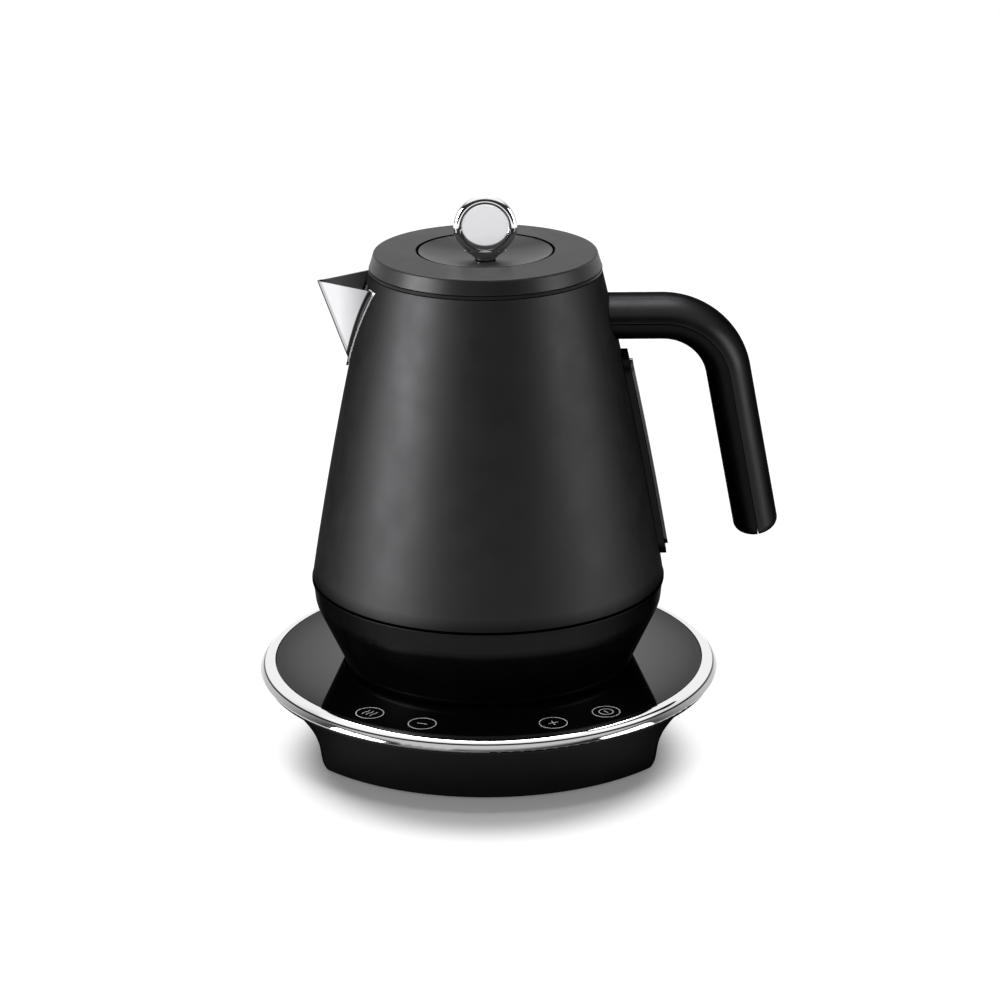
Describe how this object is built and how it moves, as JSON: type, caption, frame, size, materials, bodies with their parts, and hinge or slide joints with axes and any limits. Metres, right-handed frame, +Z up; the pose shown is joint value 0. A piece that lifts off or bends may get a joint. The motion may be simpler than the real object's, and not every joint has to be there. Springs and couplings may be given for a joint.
{
  "type": "electric kettle",
  "caption": "Cordless electric jug kettle, tapered body with a short V spout, arched handle, lift-off lid and water gauge, on a round glass-topped power base with touch keys.",
  "frame": {"origin": "on the kettle's turning axis, at the underside of the foot ring", "axes": "+Z up along the turning axis, +X towards the handle, -X towards the spout, -Y towards the touch keys"},
  "size_m": [0.2411, 0.2142, 0.2508],
  "materials": {
    "painted_steel": "satin black paint on steel",
    "lid_plastic": "matt black moulding",
    "black_plastic": "fine matt black moulding",
    "bright_chrome": "mirror plated",
    "dark_glass": "polished black glass",
    "clear_plastic": "clear moulding",
    "foot_rubber": "matt",
    "pale_silicone": "matt silicone",
    "foam_gasket": "adhesive foam",
    "plain_steel": "brushed stainless",
    "element_steel": "oxidised sheath",
    "spreader_aluminium": "as pressed",
    "contact_brass": "plain",
    "circuit_board": "solder mask",
    "component_plastic": "moulded"
  },
  "bodies": {
    "power_base": {"base_housing": "black_plastic", "base_cover": "black_plastic", "foot_ring": "foot_rubber", "trim_ring": "bright_chrome", "glass_top": "dark_glass", "glass_gasket": "foam_gasket", "base_connector": "black_plastic", "base_contacts": "contact_brass", "touch_board": "circuit_board", "touch_pads": "foam_gasket", "display_module": "component_plastic", "power_board": "circuit_board", "power_relay": "component_plastic", "terminal_block": "component_plastic", "base_screws": "plain_steel"},
    "coupling": {"kettle_connector": "black_plastic", "connector_contacts": "contact_brass"},
    "kettle": {"body_shell": "painted_steel", "spout": "bright_chrome", "filter_holder": "black_plastic", "collar_ring": "lid_plastic", "heating_plate": "plain_steel", "plate_seal": "pale_silicone", "heat_spreader": "spreader_aluminium", "heating_element": "element_steel", "temperature_probe": "plain_steel", "probe_seal": "pale_silicone", "thermal_control": "component_plastic", "control_screws": "plain_steel", "skirt": "black_plastic", "kettle_cover": "black_plastic", "cover_screws": "plain_steel", "handle_outer": "black_plastic", "handle_inner": "black_plastic", "handle_bracket": "plain_steel", "handle_screws": "plain_steel", "gauge_frame": "black_plastic", "gauge_window": "clear_plastic", "gauge_seal": "pale_silicone"},
    "lid": {"lid_cap": "lid_plastic", "lid_insert": "lid_plastic", "lid_knob": "bright_chrome", "knob_screw": "plain_steel", "lid_liner": "plain_steel", "lid_seal": "pale_silicone", "lid_screws": "plain_steel"},
    "filter": {"filter_frame": "black_plastic", "filter_mesh": "plain_steel"}
  },
  "joints": [
    {"name": "kettle_lift", "type": "slide", "parent": "power_base", "child": "coupling", "axis": [0, 0, 1], "range_m": [0, 0.12]},
    {"name": "kettle_swivel", "type": "hinge", "parent": "coupling", "child": "kettle", "pos_m": [0, 0, 0.045], "axis": [0, 0, 1], "continuous": true},
    {"name": "lid_lift", "type": "slide", "parent": "kettle", "child": "lid", "axis": [0, 0, 1], "range_m": [0, 0.06]},
    {"name": "filter_tilt", "type": "hinge", "parent": "kettle", "child": "filter", "pos_m": [-0.05906, 0, 0.1697], "axis": [0, 1, 0], "range_deg": [0, 30]}
  ]
}
